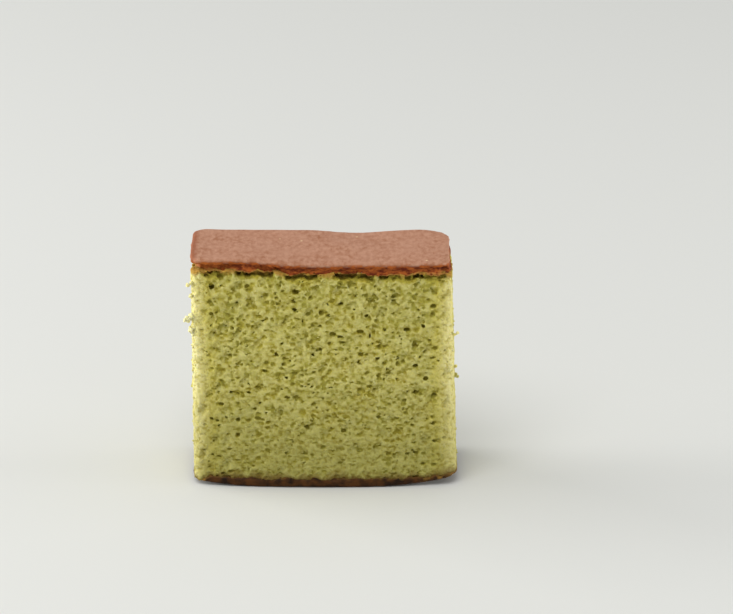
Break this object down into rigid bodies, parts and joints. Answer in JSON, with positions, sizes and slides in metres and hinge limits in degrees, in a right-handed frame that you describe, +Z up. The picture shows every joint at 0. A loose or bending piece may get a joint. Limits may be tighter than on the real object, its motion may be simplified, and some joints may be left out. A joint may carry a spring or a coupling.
{
  "type": "castella sponge cake slice",
  "caption": "Upright rectangular slice of green tea castella, a fine-pored sponge cake with a thin browned top crust and a dark base crust.",
  "frame": {"origin": "middle of the underside of the slice's bounding box, on the surface it stands on", "axes": "+X along the width of the slice, to the right as the front cut is seen; +Y from the front cut towards the back cut; +Z up"},
  "size_m": [0.067, 0.0286, 0.0598],
  "materials": {
    "crumb": "matte",
    "top_crust": "matte",
    "base_crust": "matte"
  },
  "bodies": {
    "root": {"castella_slice": "crumb"}
  },
  "joints": []
}
